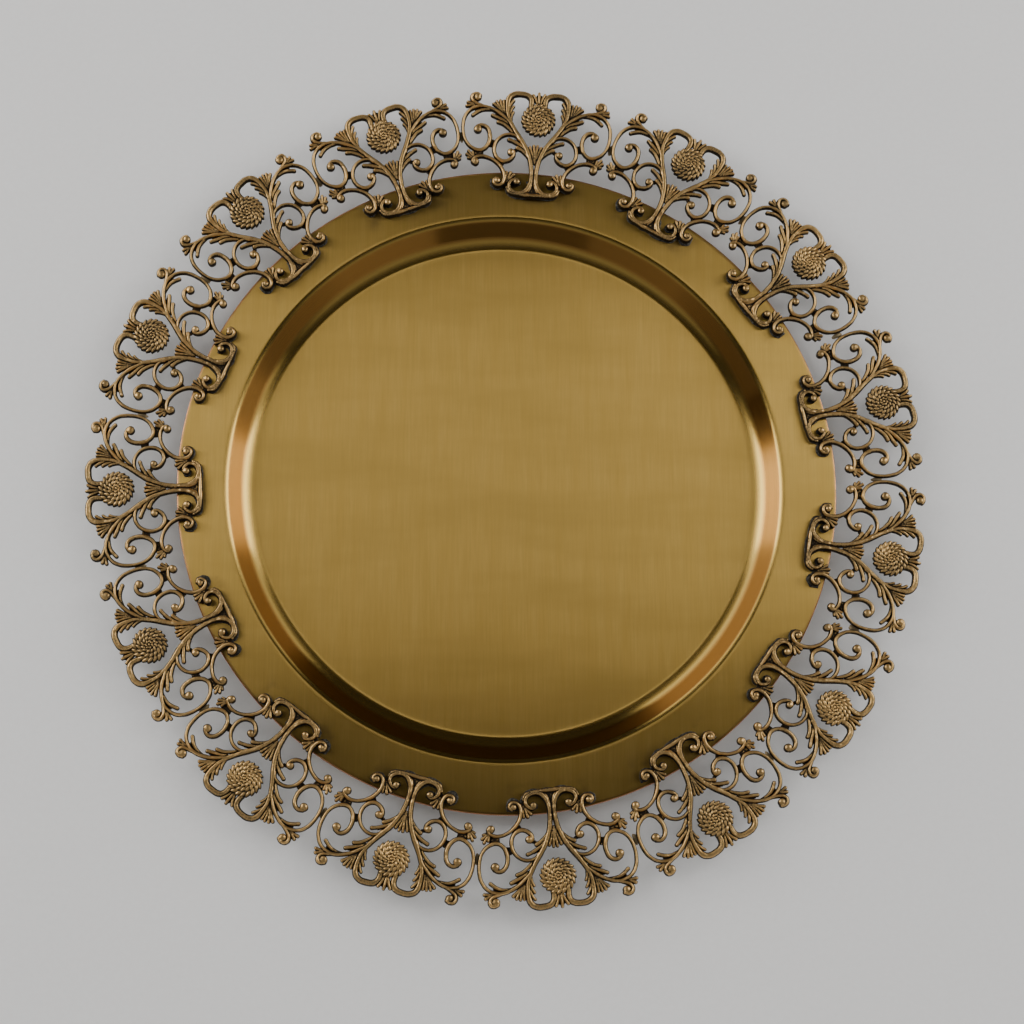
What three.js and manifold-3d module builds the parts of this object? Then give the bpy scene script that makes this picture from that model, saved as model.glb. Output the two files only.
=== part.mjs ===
// Brass tray: a spun charger plate with a border of fifteen openwork castings soldered to its flange.
// Units are millimetres, +Z is up, and z = 0 is the surface that the plate stands on.
// The origin is the middle of the border, on the underside of the plate's floor.
import * as THREE from 'three';
import { mergeVertices } from 'three/addons/utils/BufferGeometryUtils.js';
import Module from 'manifold-3d';

const wasm = await Module();
wasm.setup();

const degrees = Math.PI / 180;
const CLEARANCE = 0.3;              // left between pieces that are soldered face to face

// Plate
const PLATE_RADIUS = 139.7;         // an 11 inch disc
const LIP_RADIUS = 119.2;           // where the flat flange starts
const WELL_DEPTH = 9.3;             // flange above floor
const SHEET = 1.2;                  // sheet thickness
const WALL_SLOPE = 50 * degrees;
const FILLET_RADIUS = 9;            // middle of the sheet, floor to wall
const SHOULDER_RADIUS = 3;          // middle of the sheet, wall to flange
const PLATE_SEGMENTS = 48;
const RIM_CENTRE = [0.2, 0.6];      // the disc was trimmed a little off the middle of the border
const WELL_CENTRE = [-1.1, 1.0];    // and spun a little off its own edge

// Border
const PANEL_COUNT = 15;
const FIRST_PANEL_ANGLE = 85.3 * degrees;
const PITCH = 360 * degrees / PANEL_COUNT;
const ROSETTE_RING_RADIUS = 164.5;  // rosette centres, from the origin
const PANEL_BACK = WELL_DEPTH + SHEET + CLEARANCE;
const CASTING = 3.0;                // thickness of the scrollwork
const ROSETTE_RISE = 0.7;           // how far the rosette's middle stands above the scrolls

// How far each casting sits out of true: outward mm, clockwise mm, anticlockwise lean in degrees.
const SEATING = [
  [-0.2, -0.3, 0.7], [-0.1, -0.3, -0.7], [-0.1, -0.3, 0.6], [0.8, 0.3, -1.1], [0.1, 0, 0],
  [0.8, 0, -1.3], [-0.5, -0.1, -0.1], [0.3, 0.4, -1.0], [-0.5, 0.3, 0.4], [0.2, 0.3, 1.8],
  [-0.7, 0.3, 0], [-0.1, 0, 1.2], [0.1, -0.2, -1.0], [-0.3, -0.3, 0.5], [-0.2, -0.2, -0.7],
];

// The casting's own frame: x is across it, y runs outward from the line of its foot, and z = 0 is its
// flat back. It is the same on both sides of x = 0. One scroll is a band: a centre line through the
// given points, with its width at the start, the middle and the end. A curl ends in a wider knob.
const ROSETTE_Y = 34.9;
const ROSETTE_RADIUS = 7.5;
const ROSETTE_SEGMENTS = 12;
const MAX_TURN = 50 * degrees;      // a band gets a new corner after this much turn
const MAX_STEP = 13;                // or after this length
const KNOB = 3.2;                   // width of the knob
const JOIN_TOLERANCE = 0.2;         // corners closer than this to a straight edge are dropped

const BANDS = [
  // stem from the fork down the trunk, round the foot and into its inner curl
  { widths: [2.0, 2.4, 2.0], knob: true, points: [[3.9, 21.5], [2.3, 17.7], [1.3, 13.5], [0.9, 9.5],
    [1.1, 6.2], [2.3, 2.9], [4.4, 0.8], [7.2, 0.5], [9.8, 1.9], [10.5, 4.2], [9.4, 6.0], [6.6, 6.2]] },
  // the same stem upward, past the fork of the branch, to the arch of the crest
  { widths: [2.4, 1.7, 2.0], points: [[3.3, 20.4], [6.8, 25.6], [9.7, 29.6], [12.0, 34.2], [13.3, 38.2],
    [13.5, 42.0], [12.3, 45.4], [9.0, 47.4], [5.6, 47.4], [3.1, 45.6], [2.6, 41.8]] },
  // branch, corner and big side scroll
  { widths: [1.8, 1.9, 1.8], knob: true, points: [[11.6, 32.6], [15.2, 35.6], [19.4, 38.2], [24.4, 39.5],
    [28.6, 38.4], [31.6, 35.2], [32.3, 30.6], [31.9, 26.2], [29.6, 21.6], [26.2, 19.4], [22.6, 19.9],
    [20.4, 23.2], [20.3, 27.2], [22.2, 30.2], [25.0, 30.2], [25.8, 27.4]] },
  // corner curl
  { widths: [1.8, 1.8, 2.0], knob: true, points: [[24.4, 39.5], [27.8, 41.0], [29.7, 43.5], [28.2, 45.3],
    [26.4, 44.2]] },
  // middle scroll
  { widths: [1.8, 1.7, 1.6], knob: true, points: [[8.6, 27.0], [13.2, 27.2], [17.0, 24.6], [18.0, 20.4],
    [16.2, 16.2], [13.2, 14.9], [10.2, 16.4], [9.4, 18.8], [11.0, 20.0]] },
  // lower curve, from the foot's outer curl to the side
  { widths: [1.6, 1.9, 1.5], points: [[15.4, 6.4], [16.8, 4.8], [15.3, 3.5], [13.4, 4.4], [12.7, 7.7],
    [13.8, 11.2], [17.1, 14.5], [21.4, 16.3], [25.2, 15.8], [26.2, 14.2]] },
  // ball at its side end
  { widths: [2.0, 2.8, 2.4], points: [[26.4, 15.0], [25.6, 13.2], [25.2, 12.0]] },
  // leaf under the corner
  { widths: [1.2, 1.4, 1.5], points: [[22.0, 38.6], [28.4, 35.1]] },
];

// Straight leaves: base point, tip point, width at the base and at the tip.
const LEAVES = [
  [[13.6, 33.8], [19.7, 35.9], 1.4, 1.4],
  [[10.6, 30.4], [17.1, 33.0], 1.4, 1.4],
  [[6.4, 24.0], [12.0, 25.3], 1.6, 1.4],
  [[25.0, 39.4], [31.3, 40.1], 1.6, 2.6],
  [[25.8, 15.4], [29.2, 17.9], 1.4, 2.4],
];

// Leaves that grow together, and webs that tie neighbouring scrolls together, as outlines.
const FANS_AND_WEBS = [
  [[12.4, 34.6], [14.8, 43.3], [17.4, 43.2], [19.9, 41.0], [14.0, 34.4]],
  [[13.0, 36.0], [13.2, 40.6], [11.2, 43.7], [10.1, 43.2], [11.0, 40.2], [10.0, 39.6], [10.7, 33.4]],
  [[2.6, 17.6], [7.6, 20.0], [9.6, 18.6], [9.8, 20.4], [8.2, 22.0], [3.0, 20.0]],
  [[12.6, 5.2], [11.9, 9.9], [8.8, 9.2], [10.4, 4.6]],
  [[12.2, 15.0], [13.5, 11.6], [16.4, 14.0], [15.2, 15.8]],
  [[18.0, 23.4], [18.1, 21.0], [20.9, 21.8], [20.4, 24.2]],
  [[22.8, 19.4], [22.8, 16.4], [26.0, 15.8], [26.8, 19.0]],
  [[10.2, 2.6], [13.4, 4.6], [12.8, 7.0], [10.2, 5.0]],
];

// Pieces across the middle line, which aren't mirrored: foot bar, lower fan and the fan of the crest.
const MIDDLE_OUTLINES = [
  [[-6.0, -1.1], [6.0, -1.1], [4.6, 1.0], [0, 4.0], [-4.6, 1.0]],
  [[0, 9.4], [1.4, 15.0], [2.5, 22.8], [0, 23.6], [-2.5, 22.8], [-1.4, 15.0]],
  [[-3.2, 40.8], [3.2, 40.8], [2.9, 47.0], [0, 47.9], [-2.9, 47.0]],
];

// A closed three.js geometry as a manifold solid, and a solid as a three.js geometry.
function toSolid(geometry) {
  const bare = geometry.clone();
  bare.deleteAttribute('normal');
  bare.deleteAttribute('uv');
  const merged = mergeVertices(bare, 1e-4);
  return new wasm.Manifold(new wasm.Mesh({
    numProp: 3,
    vertProperties: new Float32Array(merged.attributes.position.array),
    triVerts: new Uint32Array(merged.index.array),
  }));
}

function toGeometry(solid) {
  const mesh = solid.getMesh();
  const geometry = new THREE.BufferGeometry();
  geometry.setAttribute('position', new THREE.BufferAttribute(mesh.vertProperties, 3));
  geometry.setIndex(new THREE.BufferAttribute(mesh.triVerts, 1));
  geometry.computeVertexNormals();
  return geometry;
}

// An outline as a flat-backed prism.
function prism(outline, height) {
  const shape = new THREE.Shape(outline.map(([x, y]) => new THREE.Vector2(x, y)));
  return new THREE.ExtrudeGeometry(shape, { depth: height, bevelEnabled: false });
}

function ovalOutline(halfX, halfY, sides) {
  return Array.from({ length: sides }, (_, i) => {
    const angle = (i + 0.5) * 2 * Math.PI / sides;
    return [halfX * Math.cos(angle), halfY * Math.sin(angle)];
  });
}

// Corners along a smooth line: a new one wherever the line has turned or run far enough.
function cornersAlong(points) {
  const curve = new THREE.CatmullRomCurve3(points.map(([x, y]) => new THREE.Vector3(x, y, 0)));
  const length = curve.getLength();
  const fineSteps = Math.ceil(length * 4);
  const corners = [{ u: 0 }];
  let turned = 0;
  let last = curve.getTangentAt(0);
  for (let i = 1; i < fineSteps; i++) {
    const u = i / fineSteps;
    const tangent = curve.getTangentAt(u);
    turned += tangent.angleTo(last);
    last = tangent;
    const run = (u - corners.at(-1).u) * length;
    const left = (1 - u) * length;
    if ((turned > MAX_TURN || run > MAX_STEP) && left > 1) {
      corners.push({ u });
      turned = 0;
    }
  }
  corners.push({ u: 1 });
  return corners.map(({ u }) => ({ u, at: curve.getPointAt(u), along: curve.getTangentAt(u) }));
}

// A band of tapering width along a smooth line.
function band({ points, widths: [first, middle, last], knob = false }) {
  const left = [];
  const right = [];
  for (const { u, at, along } of cornersAlong(points)) {
    const taper = u < 0.5
      ? THREE.MathUtils.lerp(first, middle, u * 2)
      : THREE.MathUtils.lerp(middle, last, u * 2 - 1);
    const width = knob && u === 1 ? KNOB : taper;
    left.push([at.x - along.y * width / 2, at.y + along.x * width / 2]);
    right.unshift([at.x + along.y * width / 2, at.y - along.x * width / 2]);
  }
  return [...right, ...left];
}

// A straight leaf with a blunt tip.
function leaf([[x0, y0], [x1, y1], baseWidth, tipWidth]) {
  const length = Math.hypot(x1 - x0, y1 - y0);
  const [ux, uy] = [(x1 - x0) / length, (y1 - y0) / length];
  const corner = (along, across) => [x0 + ux * along - uy * across, y0 + uy * along + ux * across];
  return [
    corner(0, -baseWidth / 2),
    corner(length, -tipWidth / 2),
    corner(length, tipWidth / 2),
    corner(0, baseWidth / 2),
  ];
}

function mirrored(outline) {
  return outline.map(([x, y]) => [-x, y]).reverse();
}

// The petalled rosette: a low dome on a flat back.
function rosette() {
  const profile = [
    new THREE.Vector2(0, 0),
    new THREE.Vector2(ROSETTE_RADIUS, 0),
    new THREE.Vector2(ROSETTE_RADIUS, CASTING),
    new THREE.Vector2(ROSETTE_RADIUS * 0.5, CASTING + ROSETTE_RISE),
    new THREE.Vector2(0, CASTING + ROSETTE_RISE),
  ];
  const dome = new THREE.LatheGeometry(profile, ROSETTE_SEGMENTS);
  dome.rotateX(Math.PI / 2);
  dome.translate(0, ROSETTE_Y, 0);
  return dome;
}

// One casting, with the origin of its geometry on its back at the rosette's centre. The join leaves
// corners along straight edges, and the last step takes them out.
function panelGeometry() {
  const half = [
    ...BANDS.map(band),
    ...LEAVES.map(leaf),
    ...FANS_AND_WEBS,
  ];
  const outlines = [...half, ...half.map(mirrored), ...MIDDLE_OUTLINES];
  const pieces = [...outlines.map((outline) => prism(outline, CASTING)), rosette()];
  const whole = pieces.map(toSolid).reduce((sum, piece) => sum.add(piece));
  return toGeometry(whole.asOriginal().simplify(JOIN_TOLERANCE)).translate(0, -ROSETTE_Y, 0);
}

// Middle line of the sheet from floor to flange edge, as [radius, height, slope there].
function sheetLine() {
  const rise = WELL_DEPTH - (FILLET_RADIUS + SHOULDER_RADIUS) * (1 - Math.cos(WALL_SLOPE));
  const shoulderStart = LIP_RADIUS - SHOULDER_RADIUS * Math.sin(WALL_SLOPE);
  const filletEnd = shoulderStart - rise / Math.tan(WALL_SLOPE);
  const floorRadius = filletEnd - FILLET_RADIUS * Math.sin(WALL_SLOPE);
  const floorZ = SHEET / 2;
  const flangeZ = floorZ + WELL_DEPTH;
  const line = [];
  for (const slope of [0, WALL_SLOPE / 2, WALL_SLOPE]) {
    line.push([floorRadius + FILLET_RADIUS * Math.sin(slope),
      floorZ + FILLET_RADIUS * (1 - Math.cos(slope)), slope]);
  }
  for (const slope of [WALL_SLOPE, WALL_SLOPE / 2, 0]) {
    line.push([LIP_RADIUS - SHOULDER_RADIUS * Math.sin(slope),
      flangeZ - SHOULDER_RADIUS * (1 - Math.cos(slope)), slope]);
  }
  line.push([PLATE_RADIUS, flangeZ, 0]);
  return line;
}

// The spun plate. Its well is centred a little away from its edge, so the flange is wider on one side.
function plateGeometry() {
  const offset = (side) => ([radius, z, slope]) => new THREE.Vector2(
    radius - side * SHEET / 2 * Math.sin(slope),
    z + side * SHEET / 2 * Math.cos(slope),
  );
  const line = sheetLine();
  const profile = [
    new THREE.Vector2(0, 0),
    ...line.map(offset(-1)),
    ...line.map(offset(1)).reverse(),
    new THREE.Vector2(0, SHEET),
  ];
  const plate = new THREE.LatheGeometry(profile, PLATE_SEGMENTS);
  plate.rotateX(Math.PI / 2);
  const position = plate.attributes.position;
  for (let i = 0; i < position.count; i++) {
    const radius = Math.hypot(position.getX(i), position.getY(i));
    const outward = THREE.MathUtils.clamp((radius - LIP_RADIUS) / (PLATE_RADIUS - LIP_RADIUS), 0, 1);
    position.setX(i, position.getX(i) + THREE.MathUtils.lerp(WELL_CENTRE[0], RIM_CENTRE[0], outward));
    position.setY(i, position.getY(i) + THREE.MathUtils.lerp(WELL_CENTRE[1], RIM_CENTRE[1], outward));
  }
  plate.computeVertexNormals();
  return plate;
}

// The solder fillet on the flange, along the inner edge of a foot.
const FOOT_SOLDER = { halfLength: 6.2, width: 1.5, height: 1.1 };

function footSolderGeometry() {
  const { halfLength, width, height } = FOOT_SOLDER;
  const outerY = -1.1 - CLEARANCE - ROSETTE_Y;
  const outline = [
    [-halfLength, outerY], [-halfLength * 0.7, outerY - width], [halfLength * 0.7, outerY - width],
    [halfLength, outerY],
  ];
  return prism(outline, height);
}

// The solder bridge on the backs of two neighbouring castings, where their side scrolls meet.
const SIDE_SOLDER = { radius: 157.5, halfAcross: 2.2, halfOutward: 4.0, thickness: 1.4 };

function sideSolderGeometry() {
  const { halfAcross, halfOutward, thickness } = SIDE_SOLDER;
  return prism(ovalOutline(halfAcross, halfOutward, 8), thickness);
}

const brass = (color, roughness) => new THREE.MeshStandardMaterial({ color, roughness, metalness: 1 });

function named(name, geometry, material) {
  const mesh = new THREE.Mesh(geometry, material);
  mesh.name = name;
  return mesh;
}

const tray = new THREE.Group();
tray.add(named('plate', plateGeometry(), brass('#b8945a', 0.35)));

const panel = panelGeometry();
const footSolder = footSolderGeometry();
const sideSolder = sideSolderGeometry();
for (let i = 0; i < PANEL_COUNT; i++) {
  const number = String(i + 1).padStart(2, '0');
  const [outward, clockwise, lean] = SEATING[i];
  const turn = FIRST_PANEL_ANGLE - i * PITCH - 90 * degrees;

  const seat = new THREE.Group();
  seat.rotation.z = turn;
  const casting = new THREE.Group();
  casting.position.set(clockwise, ROSETTE_RING_RADIUS + outward, PANEL_BACK);
  casting.rotation.z = lean * degrees;
  casting.add(named(`filigree_panel_${number}`, panel, brass('#8f6a40', 0.4)));
  casting.add(named(`foot_solder_${number}`, footSolder, brass('#5d5034', 0.6)));
  seat.add(casting);

  const joint = new THREE.Group();
  joint.rotation.z = turn - PITCH / 2;
  const bridge = named(`side_solder_${number}`, sideSolder, brass('#6a6250', 0.6));
  bridge.position.set(0, SIDE_SOLDER.radius, PANEL_BACK - CLEARANCE - SIDE_SOLDER.thickness);
  joint.add(bridge);
  tray.add(seat, joint);
}

export default tray;
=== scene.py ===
import math

import bpy
import numpy as np
from mathutils import Matrix, Vector


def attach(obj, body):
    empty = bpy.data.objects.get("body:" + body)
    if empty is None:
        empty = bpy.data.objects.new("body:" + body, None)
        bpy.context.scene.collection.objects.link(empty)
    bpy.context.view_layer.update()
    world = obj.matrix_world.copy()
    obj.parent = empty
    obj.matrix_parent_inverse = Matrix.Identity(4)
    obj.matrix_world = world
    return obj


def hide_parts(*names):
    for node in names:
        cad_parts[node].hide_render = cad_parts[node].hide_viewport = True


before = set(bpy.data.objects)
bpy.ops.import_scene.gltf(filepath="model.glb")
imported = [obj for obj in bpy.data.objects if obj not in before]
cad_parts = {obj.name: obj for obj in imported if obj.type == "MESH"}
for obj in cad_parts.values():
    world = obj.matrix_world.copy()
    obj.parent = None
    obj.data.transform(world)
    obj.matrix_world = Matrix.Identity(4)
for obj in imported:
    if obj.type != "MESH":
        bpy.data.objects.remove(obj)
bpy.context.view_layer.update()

MM = 0.001
RANDOM_SEED = 11
SAME_LEVEL = 0.02  # heights nearer than this are one level


# -------- reading the frame

def nodes_called(prefix):
    """The names of a repeated piece's nodes, in order."""
    return sorted(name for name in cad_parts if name.startswith(prefix))


def node_points(name):
    """A CAD node's vertices, in millimetres."""
    return np.array([v.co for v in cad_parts[name].data.vertices]) / MM


def node_triangles(name):
    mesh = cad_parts[name].data
    mesh.calc_loop_triangles()
    return np.array([t.vertices for t in mesh.loop_triangles])


class Seat:
    """Where a flat-backed CAD piece sits: a point, and its across and outward directions.

    The directions are the back's own principal ones. The point is on its middle line, inset outward
    from its innermost edge.
    """

    def __init__(self, name, inset):
        points = node_points(name)
        self.low = points[:, 2].min()
        corners = points[node_triangles(name)]
        back = corners[(corners[:, :, 2] < self.low + SAME_LEVEL).all(axis=1)][:, :, :2]
        edge_a = back[:, 1] - back[:, 0]
        edge_b = back[:, 2] - back[:, 0]
        area = np.abs(edge_a[:, 0] * edge_b[:, 1] - edge_a[:, 1] * edge_b[:, 0]) / 2
        middle = (back.mean(axis=1) * area[:, None]).sum(axis=0) / area.sum()
        halfway = (back + np.roll(back, 1, axis=1)) / 2 - middle
        spread = np.einsum("t,tki,tkj->ij", area / 3, halfway, halfway)
        directions = np.linalg.eigh(spread)[1]
        radial = middle / np.linalg.norm(middle)
        steepness = np.abs(radial @ directions)
        self.outward = directions[:, steepness.argmax()]
        self.outward = self.outward * np.sign(self.outward @ radial)
        self.across = np.array([self.outward[1], -self.outward[0]])
        inner_edge = (points[:, :2] @ self.outward).min()
        self.origin = self.across * (middle @ self.across) + self.outward * (inner_edge + inset)

    def place(self, vertices, z):
        """Moves vertices from the piece's own x (across), y (outward) and z to the frame."""
        flat = self.origin + vertices[:, :1] * self.across + vertices[:, 1:2] * self.outward
        return np.column_stack([flat, vertices[:, 2] + z])


def ring(points, z, outer):
    """Centre and radius of the outer or inner ring of the plate's corners at height z."""
    outer_band = 8  # corners this near the outermost one are on the outer ring
    level = points[np.abs(points[:, 2] - z) < SAME_LEVEL][:, :2]
    centre = (level.min(axis=0) + level.max(axis=0)) / 2
    distance = np.linalg.norm(level - centre, axis=1)
    if not outer:
        level = level[distance < distance.max() - outer_band]
        centre = (level.min(axis=0) + level.max(axis=0)) / 2
        distance = np.linalg.norm(level - centre, axis=1)
    return centre, distance.max()


# -------- small geometry helpers

def mesh_object(name, vertices, faces, smooth_angle=40):
    """A mesh object from millimetres, smooth but for edges sharper than smooth_angle degrees."""
    mesh = bpy.data.meshes.new(name)
    mesh.from_pydata((np.asarray(vertices) * MM).tolist(), [], faces)
    mesh.validate()
    mesh.shade_smooth()
    mesh.set_sharp_from_angle(angle=math.radians(smooth_angle))
    thing = bpy.data.objects.new(name, mesh)
    bpy.context.scene.collection.objects.link(thing)
    return thing


def point_attribute(mesh, name, values):
    """Stores one number for each vertex, for a material to read."""
    attribute = mesh.attributes.new(name, "FLOAT", "POINT")
    attribute.data.foreach_set("value", np.asarray(values, np.float32))


def ramp(values, start, width):
    """0 up to start, then rising to 1 over width."""
    return np.clip((values - start) / width, 0, 1)


def smooth_line(points, step=0.4):
    """Points every step or so along a Catmull-Rom line through the given points."""
    knots = np.asarray(points, float)
    ends = np.vstack([2 * knots[0] - knots[1], knots, 2 * knots[-1] - knots[-2]])
    line = []
    for before, start, end, after in zip(ends, ends[1:], ends[2:], ends[3:]):
        count = max(2, int(np.linalg.norm(end - start) / step))
        t = np.arange(count)[:, None] / count
        line.append(start + 0.5 * t * (end - before + t * (
            2 * before - 5 * start + 4 * end - after + t * (3 * (start - end) + after - before))))
    return np.vstack(line + [knots[-1:]])


def blurred(field, radius):
    """A grid blurred by a Gaussian of that radius in cells."""
    reach = int(3 * radius) + 1
    weights = np.exp(-0.5 * (np.arange(-reach, reach + 1) / radius) ** 2)
    weights /= weights.sum()
    for axis in (0, 1):
        padded = np.pad(field, [(reach, reach) if a == axis else (0, 0) for a in (0, 1)], mode="edge")
        field = sum(w * np.take(padded, range(i, i + field.shape[axis]), axis=axis)
                    for i, w in enumerate(weights))
    return field


# -------- relief work on a grid

class Relief:
    """A flat-backed casting as a height over a grid, with a smooth outline.

    depth is the distance inside the outline, which is negative outside; top is the height over the
    back; edge is the height that the top falls to at the outline.
    """

    FAR_OUTSIDE = -5.0
    MARGIN = 2.5  # a strand is worked out this far round itself
    EDGE_LEVEL = 0.2  # a strand's profile is 1 on its crest and this at its outline
    STRAND_FULLNESS = 1.5  # a larger power makes strands plumper
    GROOVE_WIDTH = 0.28  # share of a strand's half width
    PETAL_TAPER = 0.35
    HOLLOW_REACH = 0.6  # a hollow is lower than the mean height this near it
    HOLLOW_LIMITS = (-0.6, 1.0)
    # painted shade on the outline's edge and the back, so the sides between are drawn dark
    RIM_PAINTED_SHADE = 0.5  # how dark the outline's edge and the back are
    BACK_PAINTED_SHADE = 0.35
    RIM_MARGIN = 0.04  # rim points keep this share of a cell off the grid's points

    def __init__(self, low, high, cell):
        self.cell = cell
        self.x = np.arange(low[0], high[0], cell)
        self.y = np.arange(low[1], high[1], cell)
        shape = (len(self.y), len(self.x))
        self.depth = np.full(shape, self.FAR_OUTSIDE)
        self.top = np.zeros(shape)
        self.edge = np.zeros(shape)

    def window(self, low, high):
        """The part of the grid between two corners, with the x and y of its points."""
        columns = slice(*np.searchsorted(self.x, (low[0], high[0])))
        rows = slice(*np.searchsorted(self.y, (low[1], high[1])))
        grid_x, grid_y = np.meshgrid(self.x[columns], self.y[rows])
        return (rows, columns), grid_x, grid_y

    def add(self, part, depth, height, edge_height):
        """Lays one shape over the rest: the highest surface shows."""
        nearer = depth > self.depth[part]
        self.edge[part][nearer] = edge_height
        self.depth[part] = np.maximum(self.depth[part], depth)
        self.top[part] = np.maximum(self.top[part], np.where(depth > 0, height, 0.0))

    def strand(self, points, widths, rise, edge=0.9, groove=0.0):
        """A rounded strand along a smooth line.

        widths and rise are spread along it; groove is the depth of a groove along its middle.
        """
        line = smooth_line(points)
        run = np.concatenate([[0], np.cumsum(np.linalg.norm(np.diff(line, axis=0), axis=1))])
        share = run / run[-1]
        half = np.interp(share, np.linspace(0, 1, len(widths)), widths) / 2
        crest = np.interp(share, np.linspace(0, 1, len(rise)), rise)
        margin = half.max() + self.MARGIN
        part, grid_x, grid_y = self.window(line.min(axis=0) - margin, line.max(axis=0) + margin)
        best = np.full(grid_x.shape, self.FAR_OUTSIDE)
        away = np.zeros(grid_x.shape)
        crest_here = np.zeros(grid_x.shape)
        for i in range(len(line) - 1):
            start = line[i]
            step = line[i + 1] - start
            length2 = step @ step
            t = ((grid_x - start[0]) * step[0] + (grid_y - start[1]) * step[1]) / length2
            t = np.clip(t, 0, 1)
            distance = np.hypot(grid_x - start[0] - t * step[0], grid_y - start[1] - t * step[1])
            width = half[i] + t * (half[i + 1] - half[i])
            nearer = width - distance > best
            best = np.where(nearer, width - distance, best)
            away = np.where(nearer, distance / width, away)
            crest_here = np.where(nearer, crest[i] + t * (crest[i + 1] - crest[i]), crest_here)
        fall = (1 - self.EDGE_LEVEL ** 2) * np.clip(away, 0, 1) ** self.STRAND_FULLNESS
        profile = (np.sqrt(1 - fall) - self.EDGE_LEVEL) / (1 - self.EDGE_LEVEL)
        height = edge + (crest_here - edge) * profile
        height -= groove * np.exp(-(away / self.GROOVE_WIDTH) ** 2)
        self.add(part, best, height, edge)

    def knob(self, centre, radius, rise, edge=1.2):
        """A round boss, such as the eye of a scroll, a little above its edge where it ends."""
        roundness = 0.97
        centre = np.asarray(centre, float)
        part, grid_x, grid_y = self.window(centre - radius - 1, centre + radius + 1)
        distance = np.hypot(grid_x - centre[0], grid_y - centre[1])
        away = np.clip(distance / radius, 0, 1)
        height = edge + (rise - edge) * np.sqrt(1 - roundness * away ** 2)
        self.add(part, radius - distance, height, edge)

    def petal(self, centre, along, half_length, half_width, base, rise):
        """A plump pointed petal standing on the rosette's dome."""
        part, grid_x, grid_y = self.window(centre - half_length - 0.5, centre + half_length + 0.5)
        off_x = grid_x - centre[0]
        off_y = grid_y - centre[1]
        u = (off_x * along[0] + off_y * along[1]) / half_length
        v = (off_y * along[0] - off_x * along[1]) / half_width
        away = u ** 2 + (v * (1 + self.PETAL_TAPER * u)) ** 2
        inside = away < 1
        crest = base + rise * np.sqrt(np.clip(1 - away, 0, 1))
        self.depth[part] = np.maximum(self.depth[part], (1 - np.sqrt(away)) * half_width)
        self.top[part] = np.maximum(self.top[part], np.where(inside, crest, 0.0))

    def web(self, corners, height):
        """A low flat web between strands, as a convex outline, anticlockwise."""
        corners = np.asarray(corners, float)
        part, grid_x, grid_y = self.window(corners.min(axis=0) - 1, corners.max(axis=0) + 1)
        depth = np.full(grid_x.shape, np.inf)
        for start, end in zip(corners, np.roll(corners, -1, axis=0)):
            step = (end - start) / np.linalg.norm(end - start)
            depth = np.minimum(depth, step[0] * (grid_y - start[1]) - step[1] * (grid_x - start[0]))
        self.add(part, depth, height, height)

    def mesh(self):
        """The closed mesh: top faces, sides and flat back, with the cavity value of each vertex, which
        paints patina and painted shade in the hollows and a painted shade on the outline's edge and the
        back.
        """
        inside = self.depth > 0
        reach = self.HOLLOW_REACH / self.cell
        weight = blurred(inside.astype(float), reach)
        level = blurred(np.where(inside, self.top, 0.0), reach) / np.maximum(weight, 0.01)
        # lower than the mean height round it: patina and painted shade in the hollows
        patina_and_shade = np.clip(level - self.top, *self.HOLLOW_LIMITS)
        top_id = np.full(inside.shape, -1)
        top_id[inside] = np.arange(inside.sum())
        where = np.argwhere(inside)
        vertices = np.column_stack([self.x[where[:, 1]], self.y[where[:, 0]], self.top[inside]]).tolist()
        shade = patina_and_shade[inside].tolist()

        crossings = {}

        def crossing(a, b):
            """The outline's vertex on the grid line from a, inside, to b, outside."""
            key = (a, b) if a < b else (b, a)
            if key not in crossings:
                t = self.depth[a] / (self.depth[a] - self.depth[b])
                t = min(max(t, self.RIM_MARGIN), 1 - self.RIM_MARGIN)
                x = self.x[a[1]] + t * (self.x[b[1]] - self.x[a[1]])
                y = self.y[a[0]] + t * (self.y[b[0]] - self.y[a[0]])
                crossings[key] = len(vertices)
                vertices.append([x, y, self.edge[b] if self.edge[b] > 0 else self.edge[a]])
                # the outline's edge gets a painted shade
                shade.append(self.RIM_PAINTED_SHADE)
            return crossings[key]

        faces = []
        rim = []
        corner = [inside[:-1, :-1], inside[:-1, 1:], inside[1:, 1:], inside[1:, :-1]]
        full = np.logical_and.reduce(corner)
        ids = [top_id[:-1, :-1], top_id[:-1, 1:], top_id[1:, 1:], top_id[1:, :-1]]
        faces += np.column_stack([c[full] for c in ids]).tolist()
        for row, column in np.argwhere(np.logical_or.reduce(corner) & ~full):
            ways = [(row, column), (row, column + 1), (row + 1, column + 1), (row + 1, column)]
            face = []
            kinds = []
            for a, b in zip(ways, ways[1:] + ways[:1]):
                if inside[a]:
                    face.append(top_id[a])
                    kinds.append("in")
                if inside[a] != inside[b]:
                    face.append(crossing(a, b) if inside[a] else crossing(b, a))
                    kinds.append("out" if inside[a] else "back")
            faces.append([int(v) for v in face])
            for i, kind in enumerate(kinds):
                if kind == "out":
                    rim.append((int(face[i]), int(face[(i + 1) % len(face)])))

        count = len(vertices)
        points = np.array(vertices)
        under = points.copy()
        under[:, 2] = 0.0
        back_faces = [[v + count for v in reversed(face)] for face in faces]
        side_faces = [[b, a, a + count, b + count] for a, b in rim]
        # the back gets a painted shade, so the sides are drawn dark too
        shades = np.concatenate([shade, np.full(count, self.BACK_PAINTED_SHADE)])
        return np.vstack([points, under]), faces + side_faces + back_faces, shades


# -------- the casting

# In the casting's own frame x is across it, y runs outward from its foot's line, and its back is z = 0.
CELL = 0.186  # distance between the grid's points
FOOT_EDGE = 1.1  # the foot reaches this far inside the line y = 0
CASTING_LOW = (-34.5, -2.2)
CASTING_HIGH = (34.5, 49.2)
ROSETTE = np.array([0.5, 34.9])
ROSETTE_RADIUS = 7.5
FLANKS = 1.2  # a scroll is this much wider than its bright ridge
LEAF_GROOVE = 0.25

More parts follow.
